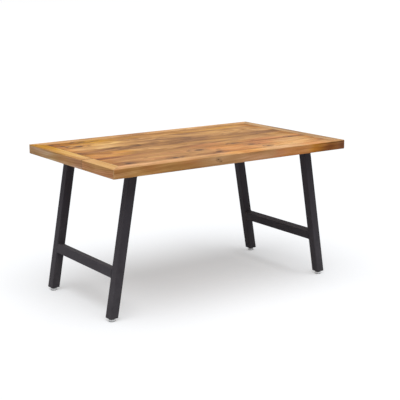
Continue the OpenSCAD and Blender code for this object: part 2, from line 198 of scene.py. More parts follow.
def makeBoardGrain():
    # a sawn board with its fibres along X. The distance from the heart of the log, a line that leans a little and
    # waves, gives the year rings, so a flat face shows arches. Colour bands and dark streaks follow the rings
    tree, given, put = makeGroup(
        "boardGrain",
        {"Vector": (0, 0, 0), "Heart": (0, 0, -0.08), "Lean": 0.04, "Ring Step": 0.006, "Streaks": 0.5},
        numbers("Tone", "Hue", "Ring", "Fibre", "Streak", "Pore", "Pin"))
    place = given["Vector"]
    wave = vectorCalc(tree, "SUBTRACT", noise(tree, place, fibres["bendWaves"], colour=True), (0.5, 0.5, 0.5))
    bent = vectorCalc(tree, "ADD", place, vectorCalc(tree, "MULTIPLY", wave, fibres["bendReach"]))
    along, across, _ = addNode(tree, "SeparateXYZ", {0: bent}).outputs
    leaning = addNode(tree, "CombineXYZ", {2: times(tree, along, given["Lean"])}).outputs[0]
    fromHeart = vectorCalc(tree, "SUBTRACT", vectorCalc(tree, "SUBTRACT", bent, given["Heart"]), leaning)
    distance = vectorCalc(tree, "LENGTH", vectorCalc(tree, "MULTIPLY", fromHeart, (0, 1, 1)))
    byRing = addNode(tree, "CombineXYZ", {0: along, 1: distance, 2: across}).outputs[0]
    year = calc(tree, "FRACT", calc(tree, "DIVIDE", distance, given["Ring Step"]))
    late = times(tree, fade(tree, year, *fibres["late"]), fade(tree, year, *fibres["lateEnd"]))
    clear = fade(tree, noise(tree, byRing, fibres["clearWaves"], detail=1), *fibres["clear"])
    feed(tree, put["Ring"], times(tree, late, clear))
    feed(tree, put["Fibre"], noise(tree, bent, fibres["threadWaves"], detail=3, roughness=0.62))
    band = fade(tree, noise(tree, byRing, fibres["bandWaves"], detail=3, roughness=0.6), *fibres["band"])
    cluster = fade(tree, noise(tree, place, fibres["clusterWaves"], detail=1), *fibres["cluster"])
    feed(tree, put["Streak"], times(tree, times(tree, band, cluster), given["Streaks"]))
    feed(tree, put["Pore"], fade(tree, noise(tree, bent, fibres["poreWaves"], detail=1), *fibres["pore"]))
    slow = minus(tree, noise(tree, place, fibres["slowWaves"]), 0.5)
    lines = minus(tree, noise(tree, byRing, fibres["lineWaves"], detail=3, roughness=0.6), 0.5)
    lines = times(tree, lines, fibres["lineShare"])
    feed(tree, put["Tone"], timesPlus(tree, slow, fibres["slowShare"], lines))
    hue = noise(tree, vectorCalc(tree, "ADD", place, fibres["hueShift"]), fibres["hueWaves"])
    feed(tree, put["Hue"], fade(tree, hue, *fibres["hue"]))
    # pin knots: one in some of the cells of a stretched cell pattern, ringed by a darker eye
    stretched = vectorCalc(tree, "MULTIPLY", bent, fibres["pinCells"])
    cells = addNode(tree, "TexVoronoi", {"Vector": stretched, "Scale": 1.0})
    chosen = fade(tree, axisOf(tree, cells.outputs["Color"], 0), *fibres["pinChosen"])
    eye = fade(tree, cells.outputs["Distance"], *fibres["pinEye"])
    feed(tree, put["Pin"], times(tree, eye, chosen))
    return tree


knotForm = {
    "pull": 0.3, "outlineWaves": (14, 34, 34), "raggedWaves": (60, 150, 150), "raggedShare": 1.1, "core": (2.2, 1.5),
    "halo": (3.8, 1.4), "loopAt": 2.6, "loopWaves": (12, 26, 26), "loop": (0.42, 0.62), "thick": 0.5, "thin": 0.08,
    "firm": 0.2,
}


def makeKnot():
    # a knot seen on the face of a board: the grain runs round it as water runs round a post,
    # y = yc + (y - yc)(1 - 1 / (r2 / R2 + pull)), with r measured more slowly along the grain
    tree, given, put = makeGroup(
        "knot", {"Vector": (0, 0, 0), "Centre": (0, 0, 0), "Radius": 0.01, "Flatten": (0.6, 1, 0.25)},
        {"Vector": "Vector", **numbers("Core", "Halo", "Loop")})
    place = given["Vector"]
    off = vectorCalc(tree, "SUBTRACT", place, given["Centre"])
    flat = vectorCalc(tree, "MULTIPLY", off, given["Flatten"])
    reach = calc(tree, "DIVIDE", vectorCalc(tree, "LENGTH", flat), given["Radius"])
    pull = calc(tree, "DIVIDE", 1.0, timesPlus(tree, reach, reach, knotForm["pull"]))
    sideways = addNode(tree, "VectorMath", {0: vectorCalc(tree, "MULTIPLY", off, (0, -1, 0)), "Scale": pull},
                       operation="SCALE").outputs[0]
    feed(tree, put["Vector"], vectorCalc(tree, "ADD", place, sideways))
    outline = calc(tree, "ADD", noise(tree, place, knotForm["outlineWaves"]), reach)
    torn = noise(tree, place, knotForm["raggedWaves"], detail=3, roughness=0.6)
    ragged = timesPlus(tree, torn, knotForm["raggedShare"], outline)
    feed(tree, put["Core"], fade(tree, ragged, *knotForm["core"]))
    feed(tree, put["Halo"], fade(tree, outline, *knotForm["halo"]))
    # a line of dark bark closes round the knot, thick and thin by turns
    nearLoop = calc(tree, "ABSOLUTE", minus(tree, outline, knotForm["loopAt"]))
    here = fade(tree, noise(tree, place, knotForm["loopWaves"]), *knotForm["loop"])
    thick = timesPlus(tree, here, knotForm["thick"], knotForm["thin"])
    line = fade(tree, nearLoop, thick, times(tree, thick, knotForm["firm"]))
    feed(tree, put["Loop"], times(tree, line, here))
    return tree


patchForm = {"tearWaves": (3.5, 75, 75), "tear": 1.1, "mask": (1.3, 0.6)}


def makeTonePatch():
    # a lighter or darker stretch of a board: an oval with torn ends that follow the fibres
    tree, given, put = makeGroup("tonePatch", {"Vector": (0, 0, 0), "Centre": (0, 0, 0), "Reach": (0.1, 0.05, 1)},
                                 numbers("Mask"))
    tear = minus(tree, noise(tree, given["Vector"], patchForm["tearWaves"]), 0.5)
    off = vectorCalc(tree, "DIVIDE", vectorCalc(tree, "SUBTRACT", given["Vector"], given["Centre"]), given["Reach"])
    far = timesPlus(tree, tear, patchForm["tear"], vectorCalc(tree, "LENGTH", off))
    feed(tree, put["Mask"], fade(tree, far, *patchForm["mask"]))
    return tree


edgeForm = {"waves": (25, 25, 25), "least": 0.4}


def makeEdgeOf():
    # how near a point is to an edge of its box: the middle one of its three distances to the box's faces,
    # 1 on an edge and 0 a width away
    tree, given, put = makeGroup("edgeOf", {"Vector": (0, 0, 0), "Low": (0, 0, 0), "High": (1, 1, 1), "Width": 0.003},
                                 numbers("Mask"))
    inside = vectorCalc(tree, "MINIMUM", vectorCalc(tree, "SUBTRACT", given["Vector"], given["Low"]),
                        vectorCalc(tree, "SUBTRACT", given["High"], given["Vector"]))
    parts = addNode(tree, "SeparateXYZ", {0: inside}).outputs
    small = calc(tree, "MINIMUM", parts[0], parts[1])
    large = calc(tree, "MAXIMUM", parts[0], parts[1])
    between = calc(tree, "MAXIMUM", small, calc(tree, "MINIMUM", large, parts[2]))
    uneven = calc(tree, "ADD", noise(tree, given["Vector"], edgeForm["waves"], detail=3), edgeForm["least"])
    feed(tree, put["Mask"], fade(tree, between, times(tree, uneven, given["Width"]), 0.0))
    return tree


zoneForm = {"rim": (0.001, 0.004), "oiledReach": 0.09}


def makeBoardZones():
    # Upright is 1 on the faces that start just under the top; Oiled grows towards the two ends, which drank more oil
    tree, given, put = makeGroup("boardZones", {"Vector": (0, 0, 0), "Top": 0.75, "End": 0.64},
                                 numbers("Upright", "Oiled"))
    rim = [minus(tree, given["Top"], down) for down in zoneForm["rim"]]
    feed(tree, put["Upright"], fade(tree, axisOf(tree, given["Vector"], 2), *rim))
    toEnd = calc(tree, "ABSOLUTE", axisOf(tree, given["Vector"], 0))
    start = minus(tree, given["End"], zoneForm["oiledReach"])
    feed(tree, put["Oiled"], fade(tree, toEnd, start, given["End"]))
    return tree


jointForm = {"mitre": (0.005, 0.001), "butt": (0.0032, 0.0012)}


def makeBoardJoints():
    # Mitre is the line where both distances to the outline are equal, |cx - |x| - (cy - |y|)| = 0;
    # Butt is the line across the board at y = level
    tree, given, put = makeGroup("boardJoints", {"Vector": (0, 0, 0), "Corner": (0.7, 0.42, 0.75), "Level": 0.0},
                                 numbers("Mitre", "Butt"))
    fromOutline = vectorCalc(tree, "SUBTRACT", given["Corner"], vectorCalc(tree, "ABSOLUTE", given["Vector"]))
    parts = addNode(tree, "SeparateXYZ", {0: fromOutline}).outputs
    offMitre = calc(tree, "ABSOLUTE", minus(tree, parts[0], parts[1]))
    feed(tree, put["Mitre"], fade(tree, offMitre, *jointForm["mitre"]))
    offButt = calc(tree, "ABSOLUTE", minus(tree, axisOf(tree, given["Vector"], 1), given["Level"]))
    feed(tree, put["Butt"], fade(tree, offButt, *jointForm["butt"]))
    return tree


# wood: acacia in several tones, one piece of timber for each board. A pair of shares is for the top and for the
# upright faces
wood = {
    "tones": ((0.0, (0.10, 0.042, 0.016)), (0.3, (0.28, 0.128, 0.044)), (0.55, (0.47, 0.236, 0.082)),
              (0.8, (0.64, 0.352, 0.14)), (1.0, (0.78, 0.51, 0.26))),
    "golden": (1.0, 0.91, 0.30, 1),
    "reddish": (1.0, 0.76, 0.72, 1),
    "streak": (0.12, 0.055, 0.03, 1),
    "knot": (0.05, 0.022, 0.012, 1),
    "pore": (0.35, 0.24, 0.16, 1),
    "seamDirtAndShade": (0.045, 0.025, 0.015, 1),
    "wornAndHighlight": (0.62, 0.40, 0.20, 1),
    "ringTone": -0.22, "knotRings": 0.9, "fibreTone": 0.35,
    "streakShare": 0.9, "poreShare": 0.6, "haloShare": 0.25,
    "pinShares": (0.8, 0.0), "barkShares": (0.7, 0.3), "coreShares": (0.9, 0.65), "buttShares": (0.9, 0.3),
    "mitreHighlightShare": 0.5, "plankEdge": (0.0022, 0.75), "borderEdge": (0.0035, 0.25),
    "oiledTone": -0.08, "oiledGold": 0.5, "oiledRed": 0.4,
    "roughness": 0.51, "fibreRough": 0.14, "poreRough": 0.15,
    "poreHeight": -0.7, "ringHeight": -0.3, "streakHeight": -0.5, "bump": (0.00035, 0.6),
    "topKnot": (0.6, 1, 0.25), "sideKnot": (0.6, 0.2, 1), "logShift": 2.7,
}


def bySide(tree, upright, shares):
    # shares[0] on the top and shares[1] on the upright faces
    return timesPlus(tree, upright, shares[1] - shares[0], shares[0])


def makeBoardColour():
    # the tone picks a colour from the ramp, tinted gold and red, with a cast of painted shade on the upright faces;
    # then streaks, pores, pin knots and the knots' bark and core lie over it. Roughness and Height follow the fibres
    # and pores
    tree, given, put = makeGroup(
        "boardColour",
        {"Tone": 0.5, "Golden": 0.0, "Reddish": 0.0, "Top Tint": (1, 1, 1, 1), "Side Shade Tint": (1, 1, 1, 1),
         "Upright": 0.0, "Ring": 0.0, "Fibre": 0.5, "Streak": 0.0, "Pore": 0.0, "Pin": 0.0, "Halo": 0.0, "Loop": 0.0,
         "Core": 0.0},
        {"Color": "Color", **numbers("Roughness", "Height")})
    upright = given["Upright"]
    # the year rings crowd and darken round a knot
    rings = times(tree, given["Ring"], timesPlus(tree, given["Halo"], wood["knotRings"], 1.0))
    tone = timesPlus(tree, rings, wood["ringTone"], given["Tone"])
    tone = timesPlus(tree, minus(tree, given["Fibre"], 0.5), wood["fibreTone"], tone)
    colour = colourRamp(tree, tone, wood["tones"])
    colour = mixColour(tree, calc(tree, "MINIMUM", given["Golden"], 1.0), colour, wood["golden"], "MULTIPLY")
    colour = mixColour(tree, calc(tree, "MINIMUM", given["Reddish"], 1.0), colour, wood["reddish"], "MULTIPLY")
    # painted shade: the upright faces take their own cast, unlike the top
    tint = mixColour(tree, upright, given["Top Tint"], given["Side Shade Tint"])
    colour = mixColour(tree, 1.0, colour, tint, "MULTIPLY")
    colour = mixColour(tree, times(tree, given["Streak"], wood["streakShare"]), colour, wood["streak"])
    colour = mixColour(tree, times(tree, given["Pore"], wood["poreShare"]), colour, wood["pore"], "MULTIPLY")
    pin = times(tree, given["Pin"], bySide(tree, upright, wood["pinShares"]))
    colour = mixColour(tree, pin, colour, wood["knot"])
    colour = mixColour(tree, times(tree, given["Halo"], wood["haloShare"]), colour, wood["streak"])
    bark = times(tree, given["Loop"], bySide(tree, upright, wood["barkShares"]))
    colour = mixColour(tree, bark, colour, wood["streak"])
    core = times(tree, given["Core"], bySide(tree, upright, wood["coreShares"]))
    feed(tree, put["Color"], mixColour(tree, core, colour, wood["knot"]))
    rough = timesPlus(tree, given["Fibre"], wood["fibreRough"], wood["roughness"])
    feed(tree, put["Roughness"], timesPlus(tree, given["Pore"], wood["poreRough"], rough))
    height = timesPlus(tree, given["Pore"], wood["poreHeight"], given["Fibre"])
    height = timesPlus(tree, given["Ring"], wood["ringHeight"], height)
    feed(tree, put["Height"], timesPlus(tree, given["Streak"], wood["streakHeight"], height))
    return tree


boardGrain, knotGroup, tonePatch, edgeOf = makeBoardGrain(), makeKnot(), makeTonePatch(), makeEdgeOf()
boardZones, boardJoints, boardColour = makeBoardZones(), makeBoardJoints(), makeBoardColour()
print("wood effects made")

# what a board has unless its own line says otherwise. Tone is 0 dark to 1 pale; gold and red tint the whole board;
# the side shade is painted shade, how much darker the upright faces are; tint is a last cast over the top, and the
# side tint a last cast of painted shade over the sides
plainBoard = {"gold": 0.45, "red": 0.5, "side": 0.0, "gloss": 0.12, "tint": (1, 1, 1, 1),
              "sideTint": (0.95, 0.93, 1.04, 1), "patches": (), "faces": (), "knots": ()}

# heart is where the middle of the log lay. A patch is (x, y, half length, half width, tone shift, gold, red), patches
# lie on the top and faces on the upright sides. Knots are (x, y, radius) on the top, with a depth below it where the
# knot shows on the side
boards = {
    "plank_1": {"tone": 0.64, "gold": 0.0, "red": 0.25, "heart": (0, -0.33, 0.62), "streaks": 0.9,
        "patches": ((-0.56, -0.32, 0.1, 0.04, -0.16, 0, 0), (-0.3, -0.32, 0.1, 0.03, -0.1, 0, 0),
                    (-0.44, -0.29, 0.2, 0.03, 0.06, 0, 0.3), (0.08, -0.31, 0.14, 0.06, 0.12, 0.3, 0.6),
                    (0.44, -0.31, 0.16, 0.06, 0.3, 0.3, 0.3), (-0.2, -0.33, 0.12, 0.05, -0.09, 0, 0),
                    (0.24, -0.31, 0.08, 0.05, 0.18, 0, 0.2)),
        "knots": ((-0.04, -0.316, 0.014), (-0.312, -0.332, 0.012), (-0.575, -0.332, 0.013), (0.27, -0.315, 0.009))},
    "plank_2": {"tone": 0.6, "gold": 0.2, "red": 0.3, "heart": (0, -0.26, 0.66), "streaks": 0.6,
        "patches": ((0.06, -0.22, 0.14, 0.05, 0.06, 0.3, 0.6), (0.46, -0.23, 0.16, 0.05, 0.18, 0, 0),
                    (0.3, -0.22, 0.08, 0.05, 0.02, 0, 0.6)),
        "knots": ((0.222, -0.238, 0.014), (-0.096, -0.224, 0.018))},
    "plank_3": {"tone": 0.56, "gold": 0.2, "red": 0.5, "heart": (0, -0.1, 0.6), "streaks": 0.7,
        "patches": ((-0.58, -0.16, 0.07, 0.03, -0.2, 0, 0.4), (-0.5, -0.11, 0.1, 0.04, 0.06, 0.5, 0),
                    (0.34, -0.15, 0.18, 0.04, 0.04, 0, 0.4), (0.04, -0.14, 0.12, 0.04, 0.06, 0, 0.4)),
        "knots": ((0.16, -0.176, 0.014), (0.548, -0.158, 0.011))},
    "plank_4": {"tone": 0.55, "gold": 0.3, "red": 0.0, "heart": (0, -0.05, 0.63), "streaks": 0.5,
        "patches": ((-0.5, -0.04, 0.14, 0.05, 0.12, 0.5, 0), (-0.5, -0.05, 0.12, 0.05, 0, 0, 0.5),
                    (0.58, -0.04, 0.09, 0.05, 0.18, 0.1, 0))},
    "plank_5": {"tone": 0.42, "gold": 0.3, "red": 0.0, "heart": (0, 0.07, 0.64), "streaks": 0.6,
        "patches": ((-0.25, 0.05, 0.18, 0.05, -0.12, 0, 0), (0.15, 0.05, 0.4, 0.05, -0.08, 0, 0),
                    (-0.56, 0.04, 0.12, 0.05, 0.18, 0, 0.3)),
        "knots": ((-0.625, 0.03, 0.01),)},
    "plank_6": {"tone": 0.54, "gold": 0.2, "red": 0.0, "heart": (0, 0.12, 0.58), "streaks": 0.4,
        "patches": ((-0.49, 0.135, 0.15, 0.05, 0.26, 0.1, 0), (-0.61, 0.13, 0.06, 0.05, 0.16, 0, 0.2),
                    (0.48, 0.13, 0.16, 0.06, 0.12, 0, 0), (0.58, 0.13, 0.08, 0.05, 0.16, -0.4, -0.3))},
    "plank_7": {"tone": 0.6, "gold": 0.3, "red": 0.0, "heart": (0, 0.24, 0.65), "streaks": 0.6,
        "patches": ((0.45, 0.22, 0.18, 0.05, 0.08, 0, 0), (-0.44, 0.22, 0.22, 0.06, 0.34, 0.35, 0),
                    (-0.55, 0.22, 0.1, 0.05, 0, 0, 0.4)),
        "knots": ((-0.537, 0.207, 0.017), (-0.6, 0.25, 0.01))},
    "plank_8": {"tone": 0.56, "gold": 0.4, "red": 0.1, "heart": (0, 0.3, 0.61), "streaks": 0.8, "gloss": 0.05,
        "patches": ((-0.5, 0.31, 0.2, 0.07, -0.02, 1.0, 0), (-0.58, 0.31, 0.1, 0.06, -0.1, 0, 0.5),
                    (0.43, 0.31, 0.14, 0.06, 0.12, 0.2, 0)),
        "knots": ((-0.452, 0.322, 0.016), (-0.625, 0.32, 0.012))},
    "front_board": {"tone": 0.8, "gold": 0.0, "red": 0.5, "heart": (0, -0.36, 0.6), "streaks": 0.5,
        "patches": ((0.66, -0.41, 0.06, 0.06, -0.26, 0, 0), (-0.46, -0.37, 0.22, 0.045, 0.16, 0, 0.4),
                    (-0.18, -0.38, 0.13, 0.05, -0.14, 0, 0), (0.07, -0.38, 0.13, 0.05, 0.16, 0.6, 0.8),
                    (0.26, -0.38, 0.13, 0.05, 0.28, 0, -0.2), (0.5, -0.39, 0.08, 0.05, 0.02, 0.3, 0.8)),
        "faces": ((0.38, -0.42, 0.14, 0.1, 0.12, 0, 0.9), (0.42, -0.42, 0.14, 0.1, 0, 0.5, 0),
                  (0.71, -0.42, 0.17, 0.1, -0.46, 0, 0.2), (0.71, -0.42, 0.05, 0.1, -0.18, 0, 0),
                  (0.55, -0.42, 0.07, 0.1, -0.13, 0, 0.5), (0.56, -0.42, 0.1, 0.1, 0, 0.6, 0),
                  (-0.48, -0.42, 0.26, 0.1, -0.02, 0.4, 0), (-0.14, -0.42, 0.1, 0.1, 0.05, 0, 0),
                  (-0.66, -0.42, 0.05, 0.1, -0.06, 0, 0.2)),
        "knots": ((-0.124, -0.4175, 0.0042, 0.016), (-0.108, -0.4175, 0.003, 0.027))},
    "rear_board": {"tone": 0.68, "gold": 0.2, "red": 0.2, "heart": (0, 0.37, 0.66), "streaks": 0.4, "side": 0.08},
    "left_end_board_rear": {"tone": 0.86, "gold": 0.3, "red": 0.1, "heart": (0, 0.66, 0.62), "streaks": 0.2,
        "side": -0.04, "gloss": 0.02, "sideTint": (0.91, 1.0, 1.35, 1),
        "patches": ((-0.66, 0.36, 0.08, 0.17, -0.2, 1.2, 0), (-0.66, 0.06, 0.08, 0.18, 0, 0.2, 0),
                    (-0.67, -0.12, 0.06, 0.012, -0.12, 0, 0)),
        "faces": ((-0.7, -0.04, 0.1, 0.16, 0.04, 0, 0.5),)},
    "left_end_board_front": {"tone": 0.89, "gold": 0.3, "red": 0.6, "heart": (0, 0.7, 0.61), "streaks": 0.2,
        "side": 0.14, "sideTint": (0.97, 0.93, 1.02, 1),
        "faces": ((-0.7, -0.19, 0.1, 0.05, -0.1, 0, 0),)},
    "right_end_board": {"tone": 0.64, "gold": 0.0, "red": 0.0, "heart": (0, -0.66, 0.62), "streaks": 0.4,
        "side": 0.08, "tint": (0.9, 1.0, 1.18, 1),
        "patches": ((0.7, 0, 0.01, 0.5, -0.18, 0, 0),)},
    "batten_1": {"tone": 0.66, "heart": (0, -0.58, 0.64), "streaks": 0.2},
    "batten_2": {"tone": 0.6, "heart": (0, -0.18, 0.64), "streaks": 0.3},
    "batten_3": {"tone": 0.7, "heart": (0, 0.2, 0.64), "streaks": 0.2},
    "batten_4": {"tone": 0.64, "heart": (0, 0.6, 0.64), "streaks": 0.3},
}

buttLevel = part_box("left_end_board_front")[1].y


def woodMaterial(name, look, seed):
    look = {**plainBoard, **look}
    material, tree, shader, place = newMaterial(name, {"Specular IOR Level": look["gloss"]})
    low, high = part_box(name)
    vector, core, halo, loop = place, 0.0, 0.0, 0.0
    for x, y, radius, *down in look["knots"]:
        centre = (x, y, high.z - sum(down))
        flatten = wood["sideKnot"] if down else wood["topKnot"]
        knot = useGroup(tree, knotGroup, {"Vector": vector, "Centre": centre, "Radius": radius, "Flatten": flatten})
        vector = knot["Vector"]
        core = calc(tree, "MAXIMUM", knot["Core"], core)
        halo = calc(tree, "MAXIMUM", knot["Halo"], halo)
        loop = calc(tree, "MAXIMUM", knot["Loop"], loop)
    if "end_board" in name or "batten" in name:
        # the fibres of these run across the table
        vector = addNode(tree, "Mapping", {"Vector": vector, "Rotation": (0, 0, pi / 2)}).outputs[0]
    # each board is cut from another stretch of the log
    moved = addNode(tree, "Mapping", {"Vector": vector, "Location": (seed * wood["logShift"], 0, 0)}).outputs[0]
    grain = useGroup(tree, boardGrain, {"Vector": moved, "Heart": look["heart"], "Streaks": look["streaks"]})
    zones = useGroup(tree, boardZones, {"Vector": place, "Top": high.z, "End": high.x})
    upright = zones["Upright"]
    tone = calc(tree, "ADD", grain["Tone"], look["tone"])
    golden = times(tree, grain["Hue"], look["gold"])
    reddish = times(tree, minus(tree, 1.0, grain["Hue"]), look["red"])
    for kind, shown in (("patches", minus(tree, 1.0, upright)), ("faces", upright)):
        for x, y, along, across, shift, gold, red in look[kind]:
            patch = useGroup(tree, tonePatch, {"Vector": place, "Centre": (x, y, high.z), "Reach": (along, across, 1)})
            mask = times(tree, patch["Mask"], shown)
            tone = timesPlus(tree, mask, shift, tone)
            golden = timesPlus(tree, mask, gold, golden)
            reddish = timesPlus(tree, mask, red, reddish)
    # painted shade: the upright faces are made darker than the top
    tone = timesPlus(tree, upright, -look["side"], tone)
    if "plank" in name:
        tone = timesPlus(tree, zones["Oiled"], wood["oiledTone"], tone)
        golden = timesPlus(tree, zones["Oiled"], wood["oiledGold"], golden)
        reddish = timesPlus(tree, zones["Oiled"], wood["oiledRed"], reddish)
    finish = useGroup(tree, boardColour, {
        "Tone": tone, "Golden": golden, "Reddish": reddish, "Top Tint": look["tint"], "Side Shade Tint": look["sideTint"],
        "Upright": upright, "Halo": halo, "Loop": loop, "Core": core,
        **{label: grain[label] for label in ("Ring", "Fibre", "Streak", "Pore", "Pin")}})
    # the seams between the planks are darker, dirt and painted shade in the gaps; the eased edges of the border are
    # paler, wear and a painted highlight
    (width, share), tint = (wood["plankEdge"], wood["seamDirtAndShade"]) if "plank" in name else (wood["borderEdge"], wood["wornAndHighlight"])
    edge = useGroup(tree, edgeOf, {"Vector": place, "Low": tuple(low), "High": tuple(high), "Width": width})["Mask"]
    colour = mixColour(tree, times(tree, edge, share), finish["Color"], tint)
    if "board" in name:
        # a pale line on the mitres is a painted highlight, and the butt joint of the left end board is darker, dirt and
        # painted shade in the joint
        joints = useGroup(tree, boardJoints, {"Vector": place, "Corner": tuple(cadBounds[1]), "Level": buttLevel})
        colour = mixColour(tree, times(tree, joints["Mitre"], wood["mitreHighlightShare"]), colour, wood["wornAndHighlight"])
        if "left" in name:
            seamDirtAndShade = times(tree, joints["Butt"], bySide(tree, upright, wood["buttShares"]))
            colour = mixColour(tree, seamDirtAndShade, colour, wood["seamDirtAndShade"])
    feed(tree, shader.inputs["Base Color"], colour)
    feed(tree, shader.inputs["Roughness"], finish["Roughness"])
    addBump(tree, shader, finish["Height"], *wood["bump"])
    return material


for seed, (name, look) in enumerate(boards.items()):
    finishNode(name, woodMaterial(name, look, seed))
hiddenWood, hiddenSeed = {"tone": 0.72, "heart": (0, -0.15, 0.55), "streaks": 0.1}, 20
for name in ("mitre_splines", "end_board_dowels"):
    finishNode(name, woodMaterial(name, hiddenWood, hiddenSeed))
print("wood finished,", len(boards), "boards")


# effects of the coated steel, the plating and the plastics

def makeMouldedSkin():
    # a sprayed or moulded skin: Cloud is broad and faint, Skin fine and raised; the low band from its given height down
    # is dust, on the steel also painted bounce light from the floor
    tree, given, put = makeGroup(
        "mouldedSkin", {"Vector": (0, 0, 0), "Cloud Waves": (14, 14, 9), "Skin Waves": (900, 900, 900),
                        "Dust Waves": (40, 40, 40), "Dust And Light Height": 0.12},
        numbers("Cloud", "Skin", "Dust And Painted Light"))
    feed(tree, put["Cloud"], noise(tree, given["Vector"], given["Cloud Waves"], detail=3))
    feed(tree, put["Skin"], noise(tree, given["Vector"], given["Skin Waves"]))
    low = fade(tree, axisOf(tree, given["Vector"], 2), given["Dust And Light Height"], 0.0)
    feed(tree, put["Dust And Painted Light"], times(tree, low, noise(tree, given["Vector"], given["Dust Waves"], detail=3)))
    return tree


def makePlating():
    # bright plating: a faint frosty bloom and fine rubbed lines
    tree, given, put = makeGroup("plating", {"Vector": (0, 0, 0), "Bloom Waves": (380, 380, 380),
                                             "Rub Waves": (900, 900, 5200)}, numbers("Bloom", "Rubbed"))
    feed(tree, put["Bloom"], noise(tree, given["Vector"], given["Bloom Waves"], detail=3, roughness=0.6))
    feed(tree, put["Rubbed"], noise(tree, given["Vector"], given["Rub Waves"]))
    return tree


mouldedSkin, plating = makeMouldedSkin(), makePlating()

# steel: charcoal powder coat with orange peel and specks, paler towards the floor: dust, and painted bounce light from
# the floor
steel = {
    "colour": (0.046, 0.040, 0.047), "pale": (0.061, 0.054, 0.063), "gloss": 0.1, "roughness": 0.54,
    "cloudWaves": (14, 14, 9), "cloud": (0.3, 0.7), "cloudRough": 0.16, "dustRough": 0.2,
    "peelWaves": ((900, 900, 900), (260, 260, 260)), "peel": (0.6, 0.8), "bump": (0.00012, 0.5),
    "speckWaves": (420, 420, 420), "speck": (0.70, 0.76), "speckColour": (0.09, 0.085, 0.09, 1), "speckShare": 0.35,
    "dustWaves": (40, 40, 40), "dustAndLightHeight": 0.55, "dustAndPaintedLight": (0.30, 0.29, 0.29, 1), "dustAndLightShare": 0.17,
}


def steelMaterial(name):
    material, tree, shader, place = newMaterial(name, {"Specular IOR Level": steel["gloss"]})
    coat = useGroup(tree, mouldedSkin, {
        "Vector": place, "Cloud Waves": steel["cloudWaves"], "Skin Waves": steel["peelWaves"][0],
        "Dust Waves": steel["dustWaves"], "Dust And Light Height": steel["dustAndLightHeight"]})
    colour = colourRamp(tree, coat["Cloud"], zip(steel["cloud"], (steel["colour"], steel["pale"])))
    # dust, and painted bounce light from the floor: the legs paler towards their feet
    colour = mixColour(tree, times(tree, coat["Dust And Painted Light"], steel["dustAndLightShare"]), colour, steel["dustAndPaintedLight"])
    speck = fade(tree, noise(tree, place, steel["speckWaves"], detail=1), *steel["speck"])
    colour = mixColour(tree, times(tree, speck, steel["speckShare"]), colour, steel["speckColour"])
    feed(tree, shader.inputs["Base Color"], colour)
    rough = timesPlus(tree, coat["Cloud"], steel["cloudRough"], steel["roughness"])
    feed(tree, shader.inputs["Roughness"], timesPlus(tree, coat["Dust And Painted Light"], steel["dustRough"], rough))
    broad = times(tree, noise(tree, place, steel["peelWaves"][1]), steel["peel"][1])
    addBump(tree, shader, timesPlus(tree, coat["Skin"], steel["peel"][0], broad), *steel["bump"])
    return material


steelCoat = steelMaterial("steel_coat")
for name in nodes:
    if "rail" in name and "caps" not in name or "stretcher" in name or "leg_plate" in name:
        finishNode(name, steelCoat)
for name in corners:
    finishNode("leg_" + name, steelCoat)
print("steel finished")

metal = {"dull": 0.62, "bloom": (0.3, 0.65), "bloomRough": 0.30, "bump": (0.00004, 0.4)}
metals = {
    "zinc_plate": {"colour": (0.62, 0.61, 0.59), "roughness": 0.23},
    "brass": {"colour": (0.70, 0.50, 0.22), "roughness": 0.25},
}


def platedMaterial(name, colour, roughness):
    # the bloom dulls the plate's colour and roughens it; roughness is its least
    material, tree, shader, place = newMaterial(name, {"Metallic": 1.0})
    plate = useGroup(tree, plating, {"Vector": place})
    dull = tuple(metal["dull"] * part for part in colour)
    feed(tree, shader.inputs["Base Color"], colourRamp(tree, plate["Bloom"], zip(metal["bloom"], (dull, colour))))
    feed(tree, shader.inputs["Roughness"], timesPlus(tree, plate["Bloom"], metal["bloomRough"], roughness))
    addBump(tree, shader, plate["Rubbed"], *metal["bump"])
    return material


plastic = {
    "gloss": 0.4, "cloudWaves": (60, 60, 60), "cloud": (0.3, 0.7), "shade": 0.88, "cloudRough": 0.16,
    "skinWaves": (2400, 2400, 2400), "bump": (0.00005, 0.5), "dustWaves": (220, 220, 220), "dustAndLightShare": 0.7,
    "dustAndPaintedLight": (0.20, 0.19, 0.18, 1), "darkSole": (0.085, 0.085, 0.09, 1), "darkSoleEase": 0.0002,
}
plastics = {
    "black_plastic": {"colour": (0.018, 0.017, 0.018), "roughness": 0.42, "dustAndLightHeight": 0.03},
    "pad_plastic": {"colour": (0.93, 0.93, 0.94), "roughness": 0.32, "dustAndLightHeight": 0.0042, "silver": 0.5,
                    "sole": 0.0027},
}


